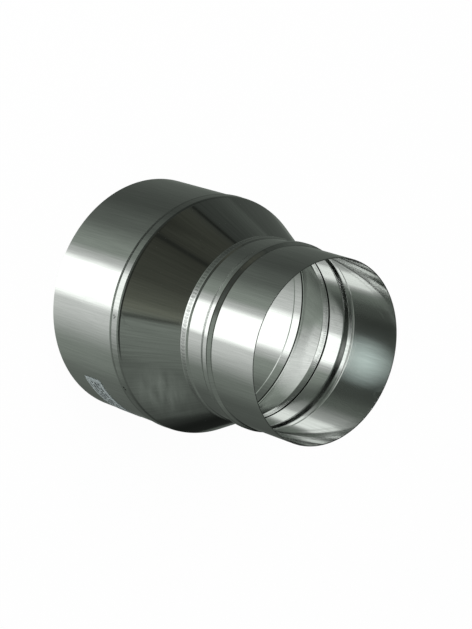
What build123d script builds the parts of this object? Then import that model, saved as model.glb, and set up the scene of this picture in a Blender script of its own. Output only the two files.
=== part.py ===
from build123d import *

import math
import os

# Chimney adapter: a wide collar, a reducing cone and a narrow collar of stainless sheet, lapped and seam-welded.
# It stands on its wide rim: the origin is the centre of that rim and +Z runs up the flue.

# Driving dimensions, in millimetres
sheet = 0.8  # thickness of the stainless sheet
lap_clearance = 0.05  # between two lapped sheets, on the radius
collar_end_gap = 2.2  # from the cut end of the wide collar to the corner of the cone above it
lip_end_gap = 0.5  # from the cut end of the cone's upper lip to the joggle above it

large_diameter = 196.0  # outside of the wide collar
large_reach = 77.2  # how far the wide collar shows below the cone
large_lap = 9.0  # height of the cone's lip over the wide collar

cone_height = 50.6  # sloping part of the cone
shoulder_radius = 10.0  # outside radius of the bend between the cone and its lower lip

small_diameter = 150.0  # outside of the narrow collar
small_lap = 7.6  # height of the narrow collar's widened end over the cone's upper lip
joggle_height = 1.2  # slope from the widened end to the neck band
neck_band = 15.6  # plain band below the stop bead
bead_width = 13.6  # stop bead, along the axis
bead_height = 2.0  # stop bead, above the sleeve
bead_flank_share = 0.88  # slope of the bead's flanks, as a share of the steepest that its width and height allow
sleeve_length = 48.3  # plain sleeve above the stop bead

label_length = 60.0  # round the collar
label_height = 20.5
label_base = 24.0  # lower edge above the wide rim
label_start = -36.5  # degrees from +X
label_thickness = 0.15
label_corner = 2.0
glue_line = 0.12  # adhesive under the label

# Levels above the wide rim
lip_base = large_reach
cone_base = lip_base + large_lap
cone_top = cone_base + cone_height
joggle_base = cone_top + small_lap
band_base = joggle_base + joggle_height
bead_base = band_base + neck_band
bead_top = bead_base + bead_width
small_rim = bead_top + sleeve_length

# Outside radii of the sheets
large_radius = large_diameter / 2
lip_radius = large_radius + lap_clearance + sheet
small_radius = small_diameter / 2
socket_radius = small_radius + lap_clearance + sheet

os.makedirs("parts", exist_ok=True)

# Wide collar: a plain rolled tube that ends just below the cone's first bend
with BuildPart() as large_collar:
    with BuildSketch(Plane.XZ):
        with BuildLine():
            Line((large_radius, 0), (large_radius, cone_base - collar_end_gap))
            offset(amount=sheet, side=Side.LEFT)
        make_face()
    revolve(axis=Axis.Z)
large_collar.part.label = "large_collar"
export_step(large_collar.part, "parts/large_collar.step")

# Reducing cone: the lower lip goes over the wide collar, the upper lip goes into the narrow collar
with BuildPart() as reducing_cone:
    with BuildSketch(Plane.XZ):
        with BuildLine():
            FilletPolyline(
                (lip_radius, lip_base),
                (lip_radius, cone_base),
                (small_radius, cone_top),
                (small_radius, joggle_base - lip_end_gap),
                radius=[shoulder_radius, 0],
            )
            offset(amount=sheet, side=Side.LEFT, kind=Kind.INTERSECTION)
        make_face()
    revolve(axis=Axis.Z)
reducing_cone.part.label = "reducing_cone"
export_step(reducing_cone.part, "parts/reducing_cone.step")

# Each side of the bead is a short straight flank and half of the round crown, which are tangent.
half_bead = bead_width / 2
flank_slope = bead_flank_share * 2 * math.atan(bead_height / half_bead)
flank_peak = half_bead * math.tan(flank_slope)  # where the two flanks would meet without the crown
crown_radius = (flank_peak - bead_height) / (1 / math.cos(flank_slope) - 1)

# Narrow collar: widened end, neck band, rolled stop bead and plain sleeve
with BuildPart() as small_collar:
    with BuildSketch(Plane.XZ):
        with BuildLine():
            FilletPolyline(
                (socket_radius, cone_top),
                (socket_radius, joggle_base),
                (small_radius, band_base),
                (small_radius, bead_base),
                (small_radius + flank_peak, bead_base + half_bead),
                (small_radius, bead_top),
                (small_radius, small_rim),
                radius=[0, 0, 0, crown_radius, 0],
            )
            offset(amount=sheet, side=Side.LEFT, kind=Kind.INTERSECTION)
        make_face()
    revolve(axis=Axis.Z)
small_collar.part.label = "small_collar"
export_step(small_collar.part, "parts/small_collar.step")

# Paper label, wrapped round the wide collar
label_radius = large_radius + glue_line
with BuildPart() as label:
    with BuildSketch(Plane.XY.offset(label_base)):
        with BuildLine():
            CenterArc((0, 0), label_radius, label_start, math.degrees(label_length / label_radius))
            offset(amount=label_thickness, side=Side.RIGHT)
        make_face()
    extrude(amount=label_height)
    fillet(label.edges().filter_by(GeomType.LINE).filter_by(Axis.Z, reverse=True), radius=label_corner)
label.part.label = "label"
export_step(label.part, "parts/label.step")

print("height", round(small_rim, 2), "crown radius", round(crown_radius, 2))
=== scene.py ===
# %% [markdown]
# This lesson dresses a stainless chimney adapter: a wide collar, a reducing cone and a narrow collar,
# each rolled from thin sheet and joined by seam welds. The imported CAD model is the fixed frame. Every
# piece made here is in metres in the same frame, standing on its wide rim with the flue running up +Z.

import math

import bmesh
import bpy
from mathutils import Matrix, Vector, noise


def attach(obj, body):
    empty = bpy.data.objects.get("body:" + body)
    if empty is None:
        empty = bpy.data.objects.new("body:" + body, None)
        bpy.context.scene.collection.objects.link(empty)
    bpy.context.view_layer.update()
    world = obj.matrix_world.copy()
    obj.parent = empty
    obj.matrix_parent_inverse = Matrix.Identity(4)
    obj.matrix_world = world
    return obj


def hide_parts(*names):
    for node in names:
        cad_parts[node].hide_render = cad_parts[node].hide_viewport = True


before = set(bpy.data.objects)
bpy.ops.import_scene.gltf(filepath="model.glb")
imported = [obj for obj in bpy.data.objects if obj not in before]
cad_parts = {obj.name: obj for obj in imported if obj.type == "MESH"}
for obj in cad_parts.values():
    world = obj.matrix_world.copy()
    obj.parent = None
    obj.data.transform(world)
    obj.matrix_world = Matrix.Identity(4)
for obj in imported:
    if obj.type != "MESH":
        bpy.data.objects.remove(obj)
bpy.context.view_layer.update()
scene = bpy.context.scene
scene.view_settings.view_transform = "Standard"


# %% [markdown]
# The photograph looks down into the narrow end with a long lens, and its frame is rolled so that the
# adapter seems to lie on its side. A camera that is aimed first and rolled afterwards keeps those two
# things apart: the aim sets which faces show, and the roll only turns the picture.

# %% Camera
IMAGE_HEIGHT = 629
FOCAL_PIXELS = 2500
SENSOR = 36.0
CAMERA_PLACE = Vector((0.0, -1.3640, 1.5941))
CAMERA_AIM = Vector((-0.0064, 0.0, 0.1116))
CAMERA_ROLL = math.radians(107.9)

lens = bpy.data.cameras.new("studio_camera")
lens.sensor_width = SENSOR
lens.lens = FOCAL_PIXELS * SENSOR / IMAGE_HEIGHT
camera = bpy.data.objects.new("studio_camera", lens)
scene.collection.objects.link(camera)
aimed = (CAMERA_AIM - CAMERA_PLACE).to_track_quat("-Z", "Y").to_matrix().to_4x4()
rolled = aimed @ Matrix.Rotation(CAMERA_ROLL, 4, "Z")
rolled.translation = CAMERA_PLACE
camera.matrix_world = rolled
scene.camera = camera
print("lens", round(lens.lens, 1), "mm")

# %% [markdown]
# Each sheet piece is a ring with one section all the way round. The section could be drawn as a closed
# outline, but a single line along the outside is easier to read. It starts as a few vertices joined by
# edges, and a vertex bevel rounds each bend of the sheet to its own radius.

# %% Bent wire
MM = 0.001
BEND_SEGMENTS = 8


def bent_wire(corners):
    """A wire through (radius, height, bend radius) corners in millimetres, with its bends rounded."""
    wire = bmesh.new()
    places = [Vector((radius * MM, 0, height * MM)) for radius, height, bend in corners]
    points = [wire.verts.new(place) for place in places]
    for start, end in zip(points, points[1:]):
        wire.edges.new((start, end))
    for i in range(1, len(points) - 1):
        bend = corners[i][2] * MM
        if bend:
            turn = (places[i] - places[i - 1]).angle(places[i + 1] - places[i])
            bmesh.ops.bevel(
                wire,
                geom=[points[i]],
                affect="VERTICES",
                offset=bend * math.tan(turn / 2),
                offset_type="OFFSET",
                segments=BEND_SEGMENTS,
                profile=0.5,
                material=-1,
                clamp_overlap=False,
            )
    return wire


print("segments in a bend:", BEND_SEGMENTS)

# %% [markdown]
# For the real adapter flat sheet is rolled and pressed into rings. Spin does the same with a wire: it
# turns the wire about the flue's axis, and a full turn merges its last step with the first. Spin can
# leave a surface inside out, so the normals are recalculated while the ring is still a thin shell.

# %% Rings and pieces
TURN_STEPS = 256


def turn_about_axis(draft, angle, steps, **options):
    """Spins all of a draft about the flue's axis."""
    bmesh.ops.spin(
        draft,
        geom=draft.verts[:] + draft.edges[:] + draft.faces[:],
        cent=(0, 0, 0),
        axis=(0, 0, 1),
        angle=angle,
        steps=steps,
        **options,
    )


def spin_round(wire, steps):
    """Turns a wire a full turn and points its faces outwards."""
    turn_about_axis(wire, 2 * math.pi, steps, use_merge=True)
    bmesh.ops.recalc_face_normals(wire, faces=wire.faces)


def mesh_object(draft, name):
    """Turns a draft into an object of the scene."""
    mesh = bpy.data.meshes.new(name)
    draft.to_mesh(mesh)
    draft.free()
    made = bpy.data.objects.new(name, mesh)
    scene.collection.objects.link(made)
    return made


def finish_piece(draft, name):
    """Turns a draft into a smooth-shaded piece that moves with the part's one body."""
    piece = mesh_object(draft, name)
    piece.data.shade_smooth()
    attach(piece, "root")
    return piece


print("steps in a full turn:", TURN_STEPS)

# %% [markdown]
# A Solidify modifier gives the sheet its thickness on the inside, so the wire stays the outside of the
# real piece. A vertex group marks what keeps the full thickness, because welding can press a sheet's end
# thin. A small Bevel breaks the cut rims, and Weighted Normal keeps the wide faces from picking up the
# rims' shading.

# %% Rolled sheet
SHEET = 0.8
CUT_EDGE = 0.12
CUT_ANGLE = math.radians(50)


def rolled_sheet(name, corners, end_share=1.0):
    """A ring of sheet whose outside follows the corners. Its upper end may be pressed thin."""
    wire = bent_wire(corners)
    spin_round(wire, TURN_STEPS)
    piece = finish_piece(wire, name)
    end_level = (corners[-1][1] - CUT_EDGE) * MM
    below_end = [point.index for point in piece.data.vertices if point.co.z < end_level]
    full = piece.vertex_groups.new(name="full_thickness")
    full.add(below_end, 1.0, "REPLACE")
    wall = piece.modifiers.new("sheet_thickness", "SOLIDIFY")
    wall.thickness = SHEET * MM
    wall.offset = -1
    wall.use_even_offset = True
    wall.vertex_group = full.name
    wall.thickness_vertex_group = end_share
    rim = piece.modifiers.new("cut_edges", "BEVEL")
    rim.width = CUT_EDGE * MM
    rim.segments = 2
    rim.limit_method = "ANGLE"
    rim.angle_limit = CUT_ANGLE
    piece.modifiers.new("rim_normals", "WEIGHTED_NORMAL").keep_sharp = True
    print(name, len(piece.data.polygons), "faces before thickness")
    return piece


print("sheet", SHEET, "mm")

# %% [markdown]
# The wide collar is a plain tube that goes up inside the cone's lip. The two sheets are squeezed together
# there before they are welded, so the collar draws in a little just below the lip. That slope is only a
# third of a millimetre deep, but on bright sheet it reads as a dark line. The welding wheel also presses
# the collar's end thin, so from inside the cut end is only a fine line.

# %% Wide collar
LARGE_RADIUS = 98.0
COLLAR_END = 85.2
SQUEEZE = 0.32
SQUEEZE_BASE = 75.2
SQUEEZE_TOP = 76.7
SQUEEZE_BEND = 1.5
THIN_END = 0.35

large_collar = rolled_sheet(
    "rolled_wide_collar",
    [
        (LARGE_RADIUS, 0.0, 0),
        (LARGE_RADIUS, SQUEEZE_BASE, SQUEEZE_BEND),
        (LARGE_RADIUS - SQUEEZE, SQUEEZE_TOP, SQUEEZE_BEND),
        (LARGE_RADIUS - SQUEEZE, COLLAR_END, 0),
    ],
    THIN_END,
)
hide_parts("large_collar")

# %% [markdown]
# The reducing cone is one pressed ring: a straight lip over the wide collar, a rounded shoulder, the slope,
# and an upper lip that goes into the narrow collar. The weld presses the lip in, and only its lower edge
# stays proud. The shoulder is a wide soft bend, so its radius is drawn and not left to shading.

# %% Reducing cone
LIP_BASE = 77.2
LIP_EDGE_RADIUS = 98.84
LIP_EDGE_HEIGHT = 1.5
LIP_EDGE_BEND = 2.0
LIP_RADIUS = 98.62
CONE_BASE = 86.5
SHOULDER_RADIUS = 10.0
CONE_TOP = 136.8
NECK_RADIUS = 3.0
SMALL_RADIUS = 75.0
CONE_END = 143.6

reducing_cone = rolled_sheet(
    "pressed_cone",
    [
        (LIP_EDGE_RADIUS, LIP_BASE, 0),
        (LIP_RADIUS, LIP_BASE + LIP_EDGE_HEIGHT, LIP_EDGE_BEND),
        (LIP_RADIUS, CONE_BASE, SHOULDER_RADIUS),
        (SMALL_RADIUS, CONE_TOP, NECK_RADIUS),
        (SMALL_RADIUS, CONE_END, 0),
    ],
)
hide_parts("reducing_cone")

# %% [markdown]
# The narrow collar starts with a widened end over the cone's upper lip, steps in through a small joggle,
# and has a rolled bead that stops the next pipe. The bead has a flat crown, two sloping flanks and two
# hollow feet, so four corners with their own bend radii are enough to draw it.

# %% Narrow collar
SOCKET_RADIUS = 75.85
SOCKET_BASE = 137.3
JOGGLE_BASE = 144.0
JOGGLE_TOP = 145.55
JOGGLE_RADIUS = 0.5
BEAD_BASE = 162.0
BEAD_TOP = 174.0
BEAD_HEIGHT = 2.0
BEAD_FLANK = 3.6
BEAD_CROWN_RADIUS = 2.5
BEAD_FOOT_RADIUS = 2.6
SMALL_RIM = 223.1

small_collar = rolled_sheet(
    "rolled_narrow_collar",
    [
        (SOCKET_RADIUS, SOCKET_BASE, 0),
        (SOCKET_RADIUS, JOGGLE_BASE, JOGGLE_RADIUS),
        (SMALL_RADIUS, JOGGLE_TOP, JOGGLE_RADIUS),
        (SMALL_RADIUS, BEAD_BASE, BEAD_FOOT_RADIUS),
        (SMALL_RADIUS + BEAD_HEIGHT, BEAD_BASE + BEAD_FLANK, BEAD_CROWN_RADIUS),
        (SMALL_RADIUS + BEAD_HEIGHT, BEAD_TOP - BEAD_FLANK, BEAD_CROWN_RADIUS),
        (SMALL_RADIUS, BEAD_TOP, BEAD_FOOT_RADIUS),
        (SMALL_RADIUS, SMALL_RIM, 0),
    ],
)
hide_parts("small_collar")

# %% [markdown]
# A seam weld is a row of overlapping nuggets, and the wheel leaves a ripple for each of them. They are far
# too small to draw one by one, but they repeat. So first a plain band is made: an eighth of it is spun in
# small steps, four to a ripple, and that eighth is copied round.

# %% Plain band for a weld track
RIPPLE_STEPS = 4
TRACK_ROWS = 6
SECTORS = 8
MERGE_DISTANCE = 0.001


def plain_band(radius, base, top, ripples):
    """A narrow band round a ring, with points enough for its ripples. Sizes are in millimetres."""
    rows = [base + (top - base) * i / TRACK_ROWS for i in range(TRACK_ROWS + 1)]
    band = bent_wire([(radius, row, 0) for row in rows])
    sector = 2 * math.pi / SECTORS
    turn_about_axis(band, sector, ripples * RIPPLE_STEPS // SECTORS)
    turn_about_axis(band, sector * (SECTORS - 1), SECTORS - 1, use_duplicate=True)
    bmesh.ops.remove_doubles(band, verts=band.verts, dist=MERGE_DISTANCE * MM)
    bmesh.ops.recalc_face_normals(band, faces=band.faces)
    return band


print("rows across a track:", TRACK_ROWS)

# %% [markdown]
# Then each point of the band is moved along its radius by a wave that runs round the ring. The wave lags
# towards the edges, so the ripples bow as they do behind a moving wheel. Noise makes some of them fainter
# than others, and the band's edges sink into the sheet.

# %% Seam weld tracks
OUTSIDE = 1
INSIDE = -1
RIPPLE_LAG = 1.6  # radians at the edges
RIPPLE_CREST = 0.6  # lifts the ripples, as a share of their depth
EDGE_SINK = 0.6  # share of the depth by which the edges go under the sheet
NOISE_MEAN = 0.6
NOISE_SPAN = 1.1
NOISE_REACH = 1.5  # size of the noise, in ripples


def weld_track(name, radius, base, top, pitch, depth, side):
    """A rippled band on the outside or the inside of a ring. Sizes are in millimetres."""
    ripples = SECTORS * round(2 * math.pi * radius / pitch / SECTORS)
    band = plain_band(radius, base, top, ripples)
    if side == INSIDE:
        bmesh.ops.reverse_faces(band, faces=band.faces)
    middle = (base + top) / 2 * MM
    half = (top - base) / 2 * MM
    for point in band.verts:
        angle = math.atan2(point.co.y, point.co.x)
        across = (point.co.z - middle) / half
        edge = across**4
        wave = RIPPLE_CREST + math.cos(ripples * angle + RIPPLE_LAG * across * across)
        uneven = NOISE_MEAN + NOISE_SPAN * noise.noise(point.co / (pitch * MM * NOISE_REACH))
        lift = side * depth * MM * ((1 - edge) * uneven * wave - EDGE_SINK * edge)
        point.co.xy *= 1 + lift / (radius * MM)
    piece = finish_piece(band, name)
    print(name, ripples, "ripples,", len(piece.data.polygons), "faces")
    return piece


tracks = [
    weld_track(
        "neck_weld_outside", SOCKET_RADIUS, base=137.7, top=143.4, pitch=2.8, depth=0.05, side=OUTSIDE
    ),
    weld_track(
        "neck_weld_inside", SMALL_RADIUS - SHEET, base=139.3, top=142.9, pitch=1.6, depth=0.04, side=INSIDE
    ),
]

# %% [markdown]
# Each sheet is rolled up and closed by a weld along its length. The photograph shows none of these welds,
# so they are on the far side. A closing weld is a low rounded line: the sheet's own outline is turned
# through a degree or so, and the points in the middle of that strip are lifted.

# %% Closing welds
SEAM_STEPS = 8
SEAM_WIDTH = 1.6
SEAM_HEIGHT = 0.12
SEAM_SINK = 0.1  # share of the height by which the edges go under the sheet
SLOPE_FOOT = (97.16, 89.6)  # radius and height near the shoulder
SLOPE_HEAD = (75.55, 135.6)  # radius and height near the neck
UP = Vector((0, 0, 1))


def closing_weld(name, low_end, high_end, degrees):
    """A weld line between two (radius, height) ends in millimetres, at a direction from +X."""
    strip = bent_wire([(*low_end, 0), (*high_end, 0)])
    start = math.radians(degrees)
    turn = SEAM_WIDTH / low_end[0]
    bmesh.ops.rotate(strip, cent=(0, 0, 0), matrix=Matrix.Rotation(start, 3, "Z"), verts=strip.verts)
    turn_about_axis(strip, turn, SEAM_STEPS)
    bmesh.ops.recalc_face_normals(strip, faces=strip.faces)
    outwards = Vector((math.cos(start + turn / 2), math.sin(start + turn / 2), 0))
    if sum(face.normal.dot(outwards) for face in strip.faces) < 0:
        bmesh.ops.reverse_faces(strip, faces=strip.faces)
    sideways = outwards.cross(UP)
    for point in strip.verts:
        from_axis = point.co.xy.length
        across = point.co.dot(sideways) / (from_axis * math.sin(turn / 2))
        lift = (1 - across * across - SEAM_SINK) * SEAM_HEIGHT * MM
        point.co.xy *= 1 + lift / from_axis
    piece = finish_piece(strip, name)
    print(name, len(piece.data.polygons), "faces")
    return piece


seams = [
    closing_weld("wide_closing_weld", (LARGE_RADIUS, 0.3), (LARGE_RADIUS, 75.0), 178),
    closing_weld("cone_closing_weld", SLOPE_FOOT, SLOPE_HEAD, 32),
    closing_weld("narrow_closing_weld", (SMALL_RADIUS, 145.8), (SMALL_RADIUS, 161.0), 3),
    closing_weld("sleeve_closing_weld", (SMALL_RADIUS, 175.4), (SMALL_RADIUS, 222.8), 3),
]

# %% [markdown]
# Two small marks sit on the cone's lip in the photograph: a group of bright weld spots, and a burnt spot
# near the label. Each spot is a sphere that is flattened until only a low dome shows above the sheet.

# %% Marks on the lip
DOME_SINK = 0.3  # share of a dome's height that is under the sheet


def weld_spots(name, places, size, height):
    """Low domes on the lip at (degrees, height) places. Sizes are in millimetres."""
    domes = bmesh.new()
    for degrees, level in places:
        dome = bmesh.ops.create_uvsphere(domes, u_segments=16, v_segments=8, radius=1)["verts"]
        bmesh.ops.scale(domes, vec=(height * MM, size * MM, size * MM), verts=dome)
        middle = ((LIP_RADIUS - DOME_SINK * height) * MM, 0, level * MM)
        bmesh.ops.translate(domes, vec=middle, verts=dome)
        turn = Matrix.Rotation(math.radians(degrees), 3, "Z")
        bmesh.ops.rotate(domes, cent=(0, 0, 0), matrix=turn, verts=dome)
    piece = finish_piece(domes, name)
    print(name, len(places), "spots")
    return piece


bright_places = [(-75.9, 80.3), (-75.2, 82.0), (-74.6, 80.9)]
burnt_places = [(-38.8, 79.6), (-37.6, 80.4)]
bright_spots = weld_spots("lip_weld_spots", bright_places, size=0.8, height=0.4)
burnt_spots = weld_spots("lip_burnt_spot", burnt_places, size=1.0, height=0.3)

# %% [markdown]
# The materials are small networks of nodes. Most of their nodes take either a link or a plain value, so one
# helper gives a socket whichever it gets. On top of it, the math nodes read almost like formulas.

# %% Math nodes


def give(tree, socket, source):
    """Links a socket to its source, or sets it to a plain value."""
    if isinstance(source, bpy.types.NodeSocket):
        tree.links.new(source, socket)
    else:
        socket.default_value = source


def number_math(tree, operation, *sources, clamp=False):
    """A math node on sockets or numbers."""
    node = tree.nodes.new("ShaderNodeMath")
    node.operation = operation
    node.use_clamp = clamp
    for socket, source in zip(node.inputs, sources):
        give(tree, socket, source)
    return node.outputs["Value"]


def vector_math(tree, operation, *sources):
    """A vector math node on sockets or plain vectors."""
    node = tree.nodes.new("ShaderNodeVectorMath")
    node.operation = operation
    for socket, source in zip(node.inputs, sources):
        give(tree, socket, source)
    return node.outputs["Value" if operation == "LENGTH" else "Vector"]


def all_of(tree, *masks):
    """The product of masks, so it is 1 only where each of them is 1."""
    found = masks[0]
    for mask in masks[1:]:
        found = number_math(tree, "MULTIPLY", found, mask)
    return found


def span(tree, source, low, high):
    """Spreads the values between low and high over 0 to 1."""
    node = tree.nodes.new("ShaderNodeMapRange")
    node.inputs["From Min"].default_value = low
    node.inputs["From Max"].default_value = high
    tree.links.new(source, node.inputs["Value"])
    return node.outputs["Result"]


print("math helpers ready")

# %% [markdown]
# Every pattern here lies on Object coordinates, which stay with the piece and need no unwrap. A Mapping node
# of the Texture kind puts a pattern's centre in a place, turns it and gives it a size. Noise and gradients
# are then laid on those coordinates.

# %% Patterns on Object coordinates


def object_place(tree):
    """The plain Object coordinates."""
    return tree.nodes.new("ShaderNodeTexCoord").outputs["Object"]


def placed(tree, centre=(0, 0, 0), turn=(0, 0, 0), size=(1, 1, 1)):
    """Object coordinates from a centre, with a turn and a size."""
    mapping = tree.nodes.new("ShaderNodeMapping")
    mapping.vector_type = "TEXTURE"
    mapping.inputs["Location"].default_value = centre
    mapping.inputs["Rotation"].default_value = turn
    mapping.inputs["Scale"].default_value = size
    tree.links.new(object_place(tree), mapping.inputs["Vector"])
    return mapping.outputs["Vector"]


def noise_on(tree, vector, scale, detail):
    """A noise on the given coordinates."""
    node = tree.nodes.new("ShaderNodeTexNoise")
    node.inputs["Detail"].default_value = detail
    give(tree, node.inputs["Scale"], scale)
    tree.links.new(vector, node.inputs["Vector"])
    return node.outputs["Fac"]


def gradient_on(tree, kind, vector):
    """A gradient on the given coordinates."""
    node = tree.nodes.new("ShaderNodeTexGradient")
    node.gradient_type = kind
    tree.links.new(vector, node.inputs["Vector"])
    return node.outputs["Fac"]


print("pattern helpers ready")

# %% [markdown]
# The sheet is one bright-rolled stainless, so its grain, its slight waves and its handling marks are the same
# effects with other values. Each effect is a node group that every finish can use. Rolling leaves a grain
# along the sheet. On the collars it runs along the flue, but on the cone it has to follow the slope. So the
# noise does not read plain coordinates: it reads the direction from the axis, which is the same all along
# one line of the slope, and only a little of the height.

# %% Rolling grain
GRAIN_ROUND = 0.09
GRAIN_RISE = 0.03


def new_group(name, inputs, output):
    """A shader node group with named value inputs and one value output, and its two end nodes."""
    group = bpy.data.node_groups.new(name, "ShaderNodeTree")
    for label, value in inputs:
        socket = group.interface.new_socket(label, in_out="INPUT", socket_type="NodeSocketFloat")
        socket.default_value = value
    group.interface.new_socket(output, in_out="OUTPUT", socket_type="NodeSocketFloat")
    return group, group.nodes.new("NodeGroupInput"), group.nodes.new("NodeGroupOutput")


grain_group, grain_in, grain_out = new_group("rolling_grain", [("Grain Scale", 900.0)], "Grain")
grain_place = object_place(grain_group)
grain_flat = vector_math(grain_group, "MULTIPLY", grain_place, (1, 1, 0))
grain_aim = vector_math(grain_group, "NORMALIZE", grain_flat)
grain_round = vector_math(grain_group, "MULTIPLY", grain_aim, (GRAIN_ROUND, GRAIN_ROUND, 0))
grain_rise = vector_math(grain_group, "MULTIPLY", grain_place, (0, 0, GRAIN_RISE))
grain_line = vector_math(grain_group, "ADD", grain_round, grain_rise)
grain_noise = noise_on(grain_group, grain_line, grain_in.outputs["Grain Scale"], 3)
grain_group.links.new(span(grain_group, grain_noise, 0.3, 0.7), grain_out.inputs["Grain"])
print("group", grain_group.name)

# %% [markdown]
# Thin sheet is never quite true, and a mirror shows it: the edges of the reflections wander a little. One
# slow noise that feeds a shallow bump is enough. Handling leaves fine scratches too. A scratch line is where
# another noise passes through its middle value, and a third noise keeps the lines in a few patches.

# %% Sheet waves and scratches
SCRATCH_MIDDLE = 0.5
SCRATCH_WIDTH = 0.006
PATCH_SCALE = 70.0

wave_group, wave_in, wave_out = new_group("sheet_waves", [("Wave Scale", 22.0)], "Wave")
wave_place = placed(wave_group, size=(1, 1, 2))
wave_noise = noise_on(wave_group, wave_place, wave_in.outputs["Wave Scale"], 1)
wave_group.links.new(wave_noise, wave_out.inputs["Wave"])

scratch_group, scratch_in, scratch_out = new_group("fine_scratches", [("Scratch Scale", 30.0)], "Scratches")
scratch_place = placed(scratch_group, turn=(0.4, 0.3, 0.0), size=(1, 1, 4))
scratch_noise = noise_on(scratch_group, scratch_place, scratch_in.outputs["Scratch Scale"], 2)
scratch_line = number_math(scratch_group, "COMPARE", scratch_noise, SCRATCH_MIDDLE, SCRATCH_WIDTH)
patch_noise = noise_on(scratch_group, placed(scratch_group), PATCH_SCALE, 1)
scratch_patch = span(scratch_group, patch_noise, 0.52, 0.64)
scratch_mask = all_of(scratch_group, scratch_line, scratch_patch)
scratch_group.links.new(scratch_mask, scratch_out.inputs["Scratches"])
print("groups", wave_group.name, scratch_group.name)

# %% [markdown]
# One hazy smear is left where a hand has wiped the cone. A spherical gradient keeps it in one place, and a
# noise that is drawn out in the direction of the wipe makes it uneven. A painted mask would do the same, but
# it would need an image and an unwrap.

# %% Wiped smear
SMEAR_CENTRE = (0.073, -0.0455, 0.112)
SMEAR_SIZE = (0.034, 0.034, 0.026)
WIPE_TURN = (0.0, 0.35, 0.91)

smear_group, smear_in, smear_out = new_group("wiped_smear", [("Smear Scale", 130.0)], "Smear")
smear_ball = gradient_on(smear_group, "SPHERICAL", placed(smear_group, SMEAR_CENTRE, size=SMEAR_SIZE))
wipe_place = placed(smear_group, turn=WIPE_TURN, size=(5, 1, 1))
wipe_noise = noise_on(smear_group, wipe_place, smear_in.outputs["Smear Scale"], 2)
smear_reach = span(smear_group, smear_ball, 0.0, 0.55)
smear_uneven = span(smear_group, wipe_noise, 0.3, 0.68)
smear_group.links.new(all_of(smear_group, smear_reach, smear_uneven), smear_out.inputs["Smear"])
print("group", smear_group.name)

# %% [markdown]
# Painted shade: where a cut end meets the next sheet, the colour is darkened to stand in for the shade in the
# crevice. Those crevices are rings, so two heights and a radius are enough to find them: the mask is 1 where
# all three tests hold.

# %% Crevice shade, painted
crevice_inputs = [("Low", 0.0), ("High", 1.0), ("Reach", 1.0)]
crevice_group, crevice_in, crevice_out = new_group("crevice_shade", crevice_inputs, "Painted_Shade")
crevice_place = object_place(crevice_group)
crevice_axes = crevice_group.nodes.new("ShaderNodeSeparateXYZ")
crevice_group.links.new(crevice_place, crevice_axes.inputs["Vector"])
crevice_height = crevice_axes.outputs["Z"]
crevice_flat = vector_math(crevice_group, "MULTIPLY", crevice_place, (1, 1, 0))
crevice_radius = vector_math(crevice_group, "LENGTH", crevice_flat)
crevice_mask = all_of(
    crevice_group,
    number_math(crevice_group, "GREATER_THAN", crevice_height, crevice_in.outputs["Low"]),
    number_math(crevice_group, "LESS_THAN", crevice_height, crevice_in.outputs["High"]),
    number_math(crevice_group, "LESS_THAN", crevice_radius, crevice_in.outputs["Reach"]),
)
crevice_group.links.new(crevice_mask, crevice_out.inputs["Painted_Shade"])
print("group", crevice_group.name)

# %% [markdown]
# A finish puts these groups together. Three more helpers do what every finish needs: a mix of two colours, a
# group with its own values, and a bump of a true depth in metres. Bumps can be stacked, so that a fine grain
# lies on a slow wave.

# %% Colours, effects and bumps


def colour_mix(tree, share, first, second):
    """A colour mix of two sockets or colours."""
    node = tree.nodes.new("ShaderNodeMix")
    node.data_type = "RGBA"
    tree.links.new(share, node.inputs["Factor"])
    give(tree, node.inputs["A"], first)
    give(tree, node.inputs["B"], second)
    return node.outputs["Result"]


def effect(tree, group, **values):
    """An instance of an effect group with its values set, and its one output."""
    node = tree.nodes.new("ShaderNodeGroup")
    node.node_tree = group
    for label, value in values.items():
        node.inputs[label.replace("_", " ")].default_value = value
    return node.outputs[0]


def bump(tree, height, distance, normal=None):
    """A bump of a given depth in metres, over another bump if there is one."""
    node = tree.nodes.new("ShaderNodeBump")
    node.inputs["Strength"].default_value = 1.0
    node.inputs["Distance"].default_value = distance
    tree.links.new(height, node.inputs["Height"])
    if normal:
        tree.links.new(normal, node.inputs["Normal"])
    return node.outputs["Normal"]


print("finish helpers ready")

# %% [markdown]
# Bright-rolled stainless is almost a mirror. Roughness and a very shallow bump come from the groups, the
# colour is darkened a touch along the grain, and the smear and the painted crevice shade are mixed in last.
# One function makes all the steel finishes, so that they differ only in their values.

# %% One stainless finish
# Near-black colour that the crevices take: painted shade.
PAINTED_SHADE = (0.02, 0.02, 0.018, 1)
HAZE = (0.78, 0.79, 0.78, 1)
SCRATCH_ROUGHNESS = 0.08
SMEAR_ROUGHNESS = 0.12
CREVICE_ROUGHNESS = 0.4
GRAIN_DEPTH = 0.0004


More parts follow.
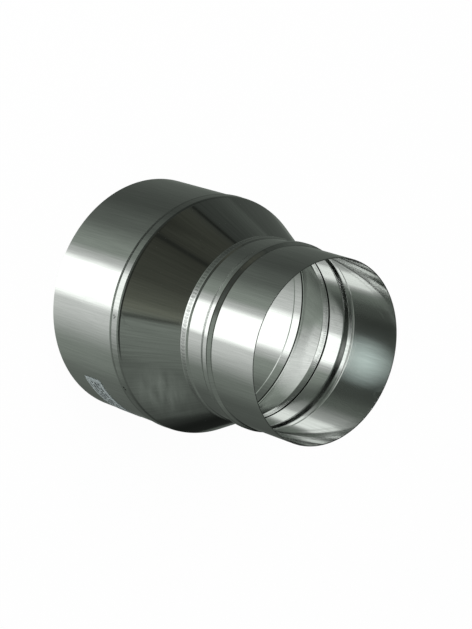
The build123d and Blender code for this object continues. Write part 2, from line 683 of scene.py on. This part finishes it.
def steel(name, colours, roughness, grain_roughness, grain_scale, wave_depth, crevices=()):
    """A stainless finish. A crevice, darkened as painted shade, is a low and a high level and a radius. Sizes
    are in millimetres.
    """
    material = bpy.data.materials.new(name)
    material.use_nodes = True
    tree = material.node_tree
    shader = tree.nodes["Principled BSDF"]
    shader.inputs["Metallic"].default_value = 1.0
    grain = effect(tree, grain_group, Grain_Scale=grain_scale)
    wave = effect(tree, wave_group)
    scratches = effect(tree, scratch_group)
    smear = effect(tree, smear_group)
    bright, dull = colours
    tint = colour_mix(tree, grain, (*bright, 1), (*dull, 1))
    tint = colour_mix(tree, smear, tint, HAZE)
    rough = number_math(tree, "MULTIPLY_ADD", grain, grain_roughness, roughness)
    rough = number_math(tree, "MULTIPLY_ADD", scratches, SCRATCH_ROUGHNESS, rough)
    rough = number_math(tree, "MULTIPLY_ADD", smear, SMEAR_ROUGHNESS, rough)
    # Each crevice darkens the colour towards near black as painted shade, and makes it rougher.
    for low, high, reach in crevices:
        shade_mask = effect(tree, crevice_group, Low=low * MM, High=high * MM, Reach=reach * MM)
        tint = colour_mix(tree, shade_mask, tint, PAINTED_SHADE)
        rough = number_math(tree, "MULTIPLY_ADD", shade_mask, CREVICE_ROUGHNESS, rough)
    tree.links.new(tint, shader.inputs["Base Color"])
    tree.links.new(rough, shader.inputs["Roughness"])
    normal = bump(tree, grain, GRAIN_DEPTH * MM, bump(tree, wave, wave_depth * MM))
    tree.links.new(normal, shader.inputs["Normal"])
    print("finish", name)
    return material


# %% [markdown]
# The steel's grey leans a little to green. The cone is pressed, and its copy of the steel is darker than the
# collars' as painted shade. Weld metal is the same steel made rougher, and the burnt spot is the same again
# in nearly black. The crevices darkened as painted shade are the groove above the cone's upper lip and the
# cut end of the wide collar.

# %% Steel of each piece
bright_sheet = steel(
    "bright_stainless",
    colours=((0.64, 0.65, 0.64), (0.55, 0.56, 0.55)),
    roughness=0.08,
    grain_roughness=0.03,
    grain_scale=900.0,
    wave_depth=0.15,
    crevices=[(143.4, 145.1, 75.08), (84.6, 85.4, 98.0)],
)
# The cone's steel is a darker copy of the collars': painted shade.
shaded_sheet = steel(
    "shaded_pressed_stainless",
    colours=((0.53, 0.54, 0.53), (0.43, 0.44, 0.43)),
    roughness=0.08,
    grain_roughness=0.04,
    grain_scale=800.0,
    wave_depth=0.15,
    crevices=[(143.4, 143.8, 75.5)],
)
weld_steel = steel(
    "welded_stainless",
    colours=((0.5, 0.51, 0.5), (0.4, 0.405, 0.4)),
    roughness=0.15,
    grain_roughness=0.1,
    grain_scale=1500.0,
    wave_depth=0.02,
)
burnt_steel = steel(
    "burnt_stainless",
    colours=((0.07, 0.07, 0.06), (0.03, 0.03, 0.03)),
    roughness=0.35,
    grain_roughness=0.2,
    grain_scale=1500.0,
    wave_depth=0.02,
)
for collar in (large_collar, small_collar):
    collar.data.materials.append(bright_sheet)
reducing_cone.data.materials.append(shaded_sheet)
for weld in tracks + seams + [bright_spots]:
    weld.data.materials.append(weld_steel)
burnt_spots.data.materials.append(burnt_steel)

# %% [markdown]
# A small paper label wraps round the wide collar. The CAD node has its true shape, so it only gets a
# finish, with rows of plain grey bars where a label would carry its print. A brick pattern gives the bars.
# Its rows run up the flue and its bricks run round the collar, so the coordinates are unrolled first: the
# angle about the axis, times the collar's radius, is the way round.

# %% Bars on the label
BAR_LENGTH = 11
BAR_PITCH = 4.1
BAR_GAP = 1.1

paper = bpy.data.materials.new("label_paper")
paper.use_nodes = True
paper_tree = paper.node_tree
paper_axes = paper_tree.nodes.new("ShaderNodeSeparateXYZ")
paper_tree.links.new(object_place(paper_tree), paper_axes.inputs["Vector"])
paper_height = paper_axes.outputs["Z"]
paper_angle = number_math(paper_tree, "ARCTAN2", paper_axes.outputs["Y"], paper_axes.outputs["X"])
way_round = number_math(paper_tree, "MULTIPLY", paper_angle, LARGE_RADIUS * MM)
unrolled = paper_tree.nodes.new("ShaderNodeCombineXYZ")
paper_tree.links.new(way_round, unrolled.inputs["X"])
paper_tree.links.new(paper_height, unrolled.inputs["Y"])
bars = paper_tree.nodes.new("ShaderNodeTexBrick")
bars.offset = 0.37
bars.squash = 0.7
bars.squash_frequency = 3
bars.inputs["Scale"].default_value = 1.0
bars.inputs["Brick Width"].default_value = BAR_LENGTH * MM
bars.inputs["Row Height"].default_value = BAR_PITCH * MM
bars.inputs["Mortar Size"].default_value = BAR_GAP * MM
bars.inputs["Mortar Smooth"].default_value = 0.2
paper_tree.links.new(unrolled.outputs["Vector"], bars.inputs["Vector"])
print("bars every", BAR_PITCH, "mm")

# %% [markdown]
# The paper itself is a greyish white with a fibre, for which the grain group serves again. Four limits keep
# a plain margin round the bars. Paper is far duller than the steel, so it also shows the lamp's light.

# %% Label paper
PRINT_LEVELS = (26.5, 42.0)
PRINT_DIRECTIONS = (-34, -4)
FIBRE_DEPTH = 0.01

print_share = all_of(
    paper_tree,
    number_math(paper_tree, "GREATER_THAN", paper_height, PRINT_LEVELS[0] * MM),
    number_math(paper_tree, "LESS_THAN", paper_height, PRINT_LEVELS[1] * MM),
    number_math(paper_tree, "GREATER_THAN", paper_angle, math.radians(PRINT_DIRECTIONS[0])),
    number_math(paper_tree, "LESS_THAN", paper_angle, math.radians(PRINT_DIRECTIONS[1])),
    number_math(paper_tree, "SUBTRACT", 1.0, bars.outputs["Fac"]),
)
fibre = effect(paper_tree, grain_group, Grain_Scale=900.0)
blank = colour_mix(paper_tree, fibre, (0.50, 0.57, 0.57, 1), (0.36, 0.42, 0.42, 1))
printed = colour_mix(paper_tree, fibre, (0.05, 0.06, 0.06, 1), (0.11, 0.13, 0.13, 1))
paper_shader = paper_tree.nodes["Principled BSDF"]
paper_shader.inputs["Roughness"].default_value = 0.5
paper_tree.links.new(colour_mix(paper_tree, print_share, blank, printed), paper_shader.inputs["Base Color"])
paper_tree.links.new(bump(paper_tree, fibre, FIBRE_DEPTH * MM), paper_shader.inputs["Normal"])
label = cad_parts["label"]
label.data.materials.clear()
label.data.materials.append(paper)
print("label finish", paper.name)

# %% [markdown]
# Polished sheet has hardly any colour of its own: it shows the room. A photographer would hang such a part
# among paper cards, out of the picture, and the cards here are chosen in the same way, by the tone that each
# should show. A display tone from 0 to 255 isn't a strength of light, so it is turned into one first, and
# then tinted.

# %% Paper tones
GREEN = (0.89, 1.0, 0.89)
BROWN = (0.94, 1.0, 0.80)
WHITE = (0.97, 1.0, 0.97)
BLUE = (0.86, 1.0, 0.97)


def tone(value):
    """The linear strength of a display tone from 0 to 255."""
    share = value / 255
    return share / 12.92 if share <= 0.04045 else ((share + 0.055) / 1.055) ** 2.4


def paper_colour(level, tint):
    """A display tone in one of the paper tints."""
    return (*(tone(level) * share for share in tint), 1)


print("mid grey is", round(tone(128), 3), "of white")

# %% [markdown]
# A card shines by itself, so its material is only an Emission shader. Its colour follows a gradient through a
# few stops. For a ring round the part the gradient is radial: its stops are directions from the axis, in
# degrees from +X. Two rings that are nearly alike share their stops, apart from a few that are changed.

# %% Paper that shines
CARD_STRENGTH = 1.65


def empty_material(name):
    """A material without nodes, and its node tree."""
    material = bpy.data.materials.new(name)
    material.use_nodes = True
    material.node_tree.nodes.clear()
    return material, material.node_tree


def glow(tree, colour, strength):
    """Light in a colour, which is a socket or a plain one."""
    node = tree.nodes.new("ShaderNodeEmission")
    give(tree, node.inputs["Color"], colour)
    node.inputs["Strength"].default_value = strength
    return node.outputs["Emission"]


def ring_paper(name, stops, gradient, strength, centre=(0, 0, 0), size=1.0):
    """Light that follows a gradient through (position, display tone, tint) stops."""
    material, tree = empty_material(name)
    ramp = tree.nodes.new("ShaderNodeValToRGB")
    ramp.color_ramp.interpolation = "EASE"
    elements = ramp.color_ramp.elements
    while len(elements) < len(stops):
        elements.new(0.5)
    for element, (position, level, tint) in zip(elements, stops):
        element.position = position
        element.color = paper_colour(level, tint)
    place = placed(tree, centre, size=(size, size, size))
    tree.links.new(gradient_on(tree, gradient, place), ramp.inputs["Fac"])
    out = tree.nodes.new("ShaderNodeOutputMaterial")
    tree.links.new(glow(tree, ramp.outputs["Color"], strength), out.inputs["Surface"])
    return material


def round_paper(name, stops, strength=CARD_STRENGTH):
    """Light that follows (degrees from +X, display tone, tint) stops round the part."""
    places = [((degrees + 180) / 360, level, tint) for degrees, level, tint in stops]
    return ring_paper(name, places, "RADIAL", strength)


def with_stops(stops, *changes):
    """The same stops, with those in the same directions changed."""
    changed = {stop[0]: stop for stop in changes}
    return [changed.get(stop[0], stop) for stop in stops]


print("card strength", CARD_STRENGTH)

# %% [markdown]
# In the photograph light also comes in through the open wide end, so the room has to reach round below the
# part as well. A wide bowl of card rings, which only reflections see, stands for that room. The bowl is three
# metres away, so that places with the same slope see nearly the same part of it. Each ring is a short arc of
# the bowl, spun round.

# %% Rings of the bowl
ROOM_RADIUS = 3000.0
ARC_STEPS = 6
RING_STEPS = 96


def only_reflected(name, draft, material):
    """Turns a draft into a stage piece that only reflections see."""
    card = mesh_object(draft, name)
    card.data.materials.append(material)
    card.visible_camera = False
    card.visible_diffuse = False
    card.visible_transmission = False
    card.visible_shadow = False


def card_ring(name, low, high, material):
    """A ring of the bowl between two heights above the horizon, in degrees."""
    heights = [math.radians(low + (high - low) * i / ARC_STEPS) for i in range(ARC_STEPS + 1)]
    arc = bent_wire([(ROOM_RADIUS * math.cos(h), ROOM_RADIUS * math.sin(h), 0) for h in heights])
    spin_round(arc, RING_STEPS)
    only_reflected(name, arc, material)
    print(name, "from", low, "to", high, "degrees")


# %% [markdown]
# Through the open wide end the inside of the cone sees what is straight below. That paper is brightest a
# little off the axis, so its gradient is spherical and its stops run from the gradient's rim to its centre.

# %% Paper below the part
BOWL_FOOT = -89.9
LOW_WINDOW_BASE = -58
UNDER_STRENGTH = 2.6
UNDER_CENTRE = (-0.25, 0.2, -3.0)
UNDER_SIZE = 1.9

under = [
    (0.0, 75, GREEN),
    (0.36, 110, GREEN),
    (0.58, 122, GREEN),
    (0.7, 155, WHITE),
    (0.8, 182, WHITE),
    (1.0, 202, WHITE),
]
under_paper = ring_paper("paper_below", under, "SPHERICAL", UNDER_STRENGTH, UNDER_CENTRE, UNDER_SIZE)
card_ring("paper_below", BOWL_FOOT, LOW_WINDOW_BASE, under_paper)

# %% [markdown]
# The collars stand upright, so they throw the camera's steep view down to the window paper, and its bright
# stretch is the light stripe along each of them. The wide collar sees a lower part of the bowl than the
# narrow one, so it can have a ring of its own that is slightly paler on one side.

# %% Window papers
WINDOW_BASE = -47.2
WINDOW_TOP = -36

window = [
    (-180, 67, GREEN),
    (-150, 86, GREEN),
    (-118, 130, GREEN),
    (-108, 175, WHITE),
    (-99, 270, WHITE),
    (-70, 270, WHITE),
    (-61, 190, WHITE),
    (-15, 106, GREEN),
    (20, 77, GREEN),
    (60, 66, GREEN),
    (100, 95, GREEN),
    (128, 80, GREEN),
    (180, 67, GREEN),
]
low_window = with_stops(window, (-15, 119, GREEN), (20, 92, GREEN), (60, 75, GREEN))
card_ring("window_paper", WINDOW_BASE, WINDOW_TOP, round_paper("window_paper", window))
card_ring("low_window_paper", LOW_WINDOW_BASE, WINDOW_BASE, round_paper("low_window_paper", low_window))

# %% [markdown]
# The bead's flanks and the shoulder lean a little, and look above or below the part of the room that the
# cone shows. Two rings of the same wall stand there. Only the upper one has a lit corner, because in the
# lower one it would put a bright streak along the cone's edge.

# %% Side walls
DARK_WALL_BASE = -20
WALL_TOP = 8
HIGH_BASE = 26

side_wall = [
    (-180, 47, GREEN),
    (-129, 55, GREEN),
    (-97, 83, GREEN),
    (-85, 124, GREEN),
    (-66, 126, GREEN),
    (-14, 86, GREEN),
    (28, 55, GREEN),
    (48, 26, GREEN),
    (61, 26, GREEN),
    (100, 80, GREEN),
    (135, 72, GREEN),
    (180, 47, GREEN),
]
lit_wall = with_stops(side_wall, (100, 170, WHITE))
card_ring("low_side_wall", WINDOW_TOP, DARK_WALL_BASE, round_paper("low_side_paper", side_wall))
card_ring("high_side_wall", WALL_TOP, HIGH_BASE, round_paper("high_side_paper", lit_wall))

# %% [markdown]
# The slope of the cone throws the view out to the walls near the horizon. They are mostly dark, with a
# brownish side and one lit corner, and the lower one is darker than the upper one. A ring well above the
# horizon closes the room in an even dark tone.

# %% Walls near the horizon
WALL_BASE = -3
HIGH_TOP = 62
WALL_STRENGTH = 2.05

dark_wall = [
    (-180, 52, GREEN),
    (-165, 53, BROWN),
    (-150, 40, BROWN),
    (-50, 38, GREEN),
    (-25, 86, GREEN),
    (-10, 87, GREEN),
    (27, 68, GREEN),
    (45, 42, GREEN),
    (100, 190, WHITE),
    (140, 76, GREEN),
    (180, 52, GREEN),
]
wall = [
    (-180, 52, GREEN),
    (-156, 57, BROWN),
    (-137, 48, BROWN),
    (-105, 58, BROWN),
    (-87, 74, BROWN),
    (-77, 93, BROWN),
    (-66, 109, GREEN),
    (0, 85, GREEN),
    (45, 45, GREEN),
    (100, 200, WHITE),
    (135, 78, GREEN),
    (180, 52, GREEN),
]
high = [(-180, 52, GREEN), (0, 60, GREEN), (180, 52, GREEN)]
card_ring("dark_wall", DARK_WALL_BASE, WALL_BASE, round_paper("dark_paper", dark_wall, WALL_STRENGTH))
card_ring("wall", WALL_BASE, WALL_TOP, round_paper("wall_paper", wall, WALL_STRENGTH))
card_ring("high_paper", HIGH_BASE, HIGH_TOP, round_paper("high_paper", high))

# %% [markdown]
# Some things in the room are too small for a ring. Each of them is a separate card with a soft oval edge,
# because its light fades into a transparent shader. A card shines only the way it faces, and what looks at
# its back sees through it.

# %% Soft spot
SPOT_DISTANCE = 2.6


def shader_mix(tree, share, first, second):
    """A mix of two shaders."""
    node = tree.nodes.new("ShaderNodeMixShader")
    for socket, source in zip(node.inputs, (share, first, second)):
        give(tree, socket, source)
    return node.outputs["Shader"]


def room_place(degrees, height):
    """A place in front of the rings, from a direction and a height above the horizon."""
    aim = math.radians(degrees)
    rise = math.radians(height)
    reach = math.cos(rise)
    return SPOT_DISTANCE * Vector((reach * math.cos(aim), reach * math.sin(aim), math.sin(rise)))


def spot_card(name, middle, facing, lean, half_sizes, level, tint):
    """A soft oval card that shines the way it faces. Places and sizes are in metres."""
    turn = facing.to_track_quat("Z", "Y").to_matrix() @ Matrix.Rotation(math.radians(lean), 3, "Z")
    card = bmesh.new()
    bmesh.ops.create_grid(card, x_segments=1, y_segments=1, size=1)
    bmesh.ops.scale(card, vec=(*half_sizes, 1), verts=card.verts)
    bmesh.ops.rotate(card, cent=(0, 0, 0), matrix=turn, verts=card.verts)
    bmesh.ops.translate(card, vec=middle, verts=card.verts)
    material, tree = empty_material(name)
    oval = gradient_on(tree, "SPHERICAL", placed(tree, middle, turn.to_euler(), (*half_sizes, 1)))
    back = tree.nodes.new("ShaderNodeNewGeometry").outputs["Backfacing"]
    front = number_math(tree, "SUBTRACT", oval, back, clamp=True)
    clear = tree.nodes.new("ShaderNodeBsdfTransparent").outputs["BSDF"]
    light = glow(tree, paper_colour(level, tint), CARD_STRENGTH)
    out = tree.nodes.new("ShaderNodeOutputMaterial")
    tree.links.new(shader_mix(tree, front, clear, light), out.inputs["Surface"])
    only_reflected(name, card, material)
    print("spot", name)


# %% [markdown]
# Three dark gaps in the walls show on the cone as thin lines. A pale card low down lights the strip inside
# the cone beside the collar's end. The cool patch is light that reaches the inside of the sleeve after two
# reflections. It hangs just under the open wide end, close to the part, so that little else sees it.

# %% Spots in front of the rings
GAP_HALF_HEIGHT = 0.5
GLOW_PLACE = room_place(-128, -74)
GLOW_HALF_SIZES = (0.65, 0.65)
COOL_PLACE = Vector((0.002, -0.035, -0.034))
COOL_FACING = Vector((0, -1, 0))
COOL_HALF_SIZES = (0.016, 0.044)

for name, place, lean, half_width, level in (
    ("left_gap", room_place(-174.8, -8), 0, 0.105, 14),
    ("middle_gap", room_place(-137, -1), 0, 0.17, 33),
    ("right_gap", room_place(-69.4, 2), -45, 0.085, 8),
):
    spot_card(name, place, -place, lean, (half_width, GAP_HALF_HEIGHT), level, GREEN)
spot_card("low_glow", GLOW_PLACE, -GLOW_PLACE, 0, GLOW_HALF_SIZES, 252, WHITE)
spot_card("cool_patch", COOL_PLACE, COOL_FACING, 0, COOL_HALF_SIZES, 258, BLUE)

# %% [markdown]
# The floor is plain and pale. What the camera sees of it is white, as behind the part in the photograph, with
# a trace of the part's soft shadow left in. A Light Path node makes that choice: rays that light the part
# meet the matte floor, and rays from the viewer meet a floor that shines. Reflections don't see the floor at
# all, because the bowl of cards reaches below it.

# %% Floor
FLOOR_SIZE = 6.0
FLOOR_GLOW = 0.97


def white_to_viewer(tree, lit, white):
    """Mixes in white for what the camera, a mirror or glass sees, and keeps the lit colour for the light."""
    path = tree.nodes.new("ShaderNodeLightPath").outputs
    seen = number_math(tree, "ADD", path["Is Camera Ray"], path["Is Glossy Ray"], clamp=True)
    seen = number_math(tree, "ADD", seen, path["Is Transmission Ray"], clamp=True)
    return shader_mix(tree, seen, lit, white)


floor_draft = bmesh.new()
bmesh.ops.create_grid(floor_draft, x_segments=1, y_segments=1, size=FLOOR_SIZE)
floor = mesh_object(floor_draft, "floor")
floor.visible_glossy = False
floor_finish, floor_tree = empty_material("pale_floor")
matte_node = floor_tree.nodes.new("ShaderNodeBsdfDiffuse")
matte_node.inputs["Color"].default_value = (0.9, 0.9, 0.9, 1)
matte = matte_node.outputs["BSDF"]
shining = shader_mix(floor_tree, FLOOR_GLOW, matte, glow(floor_tree, (1, 1, 1, 1), 1.0))
floor_out = floor_tree.nodes.new("ShaderNodeOutputMaterial")
floor_tree.links.new(white_to_viewer(floor_tree, matte, shining), floor_out.inputs["Surface"])
floor.data.materials.append(floor_finish)
print("floor finish", floor_finish.name)

# %% [markdown]
# The world does the same beyond the floor: white to the viewer, and an even grey for the light. One large
# soft lamp stands above, on the camera's side. The steel mostly shows the cards, so the lamp is there for
# the label and for the soft shadow.

# %% World and lamp
LAMP_PLACE = Vector((-0.5, -0.6, 1.7))
LAMP_AIM = Vector((0, 0, 0.1))
LAMP_SIZE = 1.2
LAMP_POWER = 18

world = bpy.data.worlds.new("studio")
scene.world = world
world.use_nodes = True
world_tree = world.node_tree
world_tree.nodes.clear()
room = world_tree.nodes.new("ShaderNodeBackground")
room.inputs["Color"].default_value = (0.5, 0.5, 0.5, 1)
backdrop = world_tree.nodes.new("ShaderNodeBackground")
backdrop.inputs["Color"].default_value = (1, 1, 1, 1)
sky = white_to_viewer(world_tree, room.outputs["Background"], backdrop.outputs["Background"])
world_out = world_tree.nodes.new("ShaderNodeOutputWorld")
world_tree.links.new(sky, world_out.inputs["Surface"])

lamp = bpy.data.lights.new("soft_box", "AREA")
lamp.shape = "DISK"
lamp.size = LAMP_SIZE
lamp.energy = LAMP_POWER
soft_box = bpy.data.objects.new("soft_box", lamp)
scene.collection.objects.link(soft_box)
soft_box.location = LAMP_PLACE
soft_box.rotation_euler = (LAMP_AIM - LAMP_PLACE).to_track_quat("-Z", "Y").to_euler()
print("lamp", LAMP_POWER, "W")
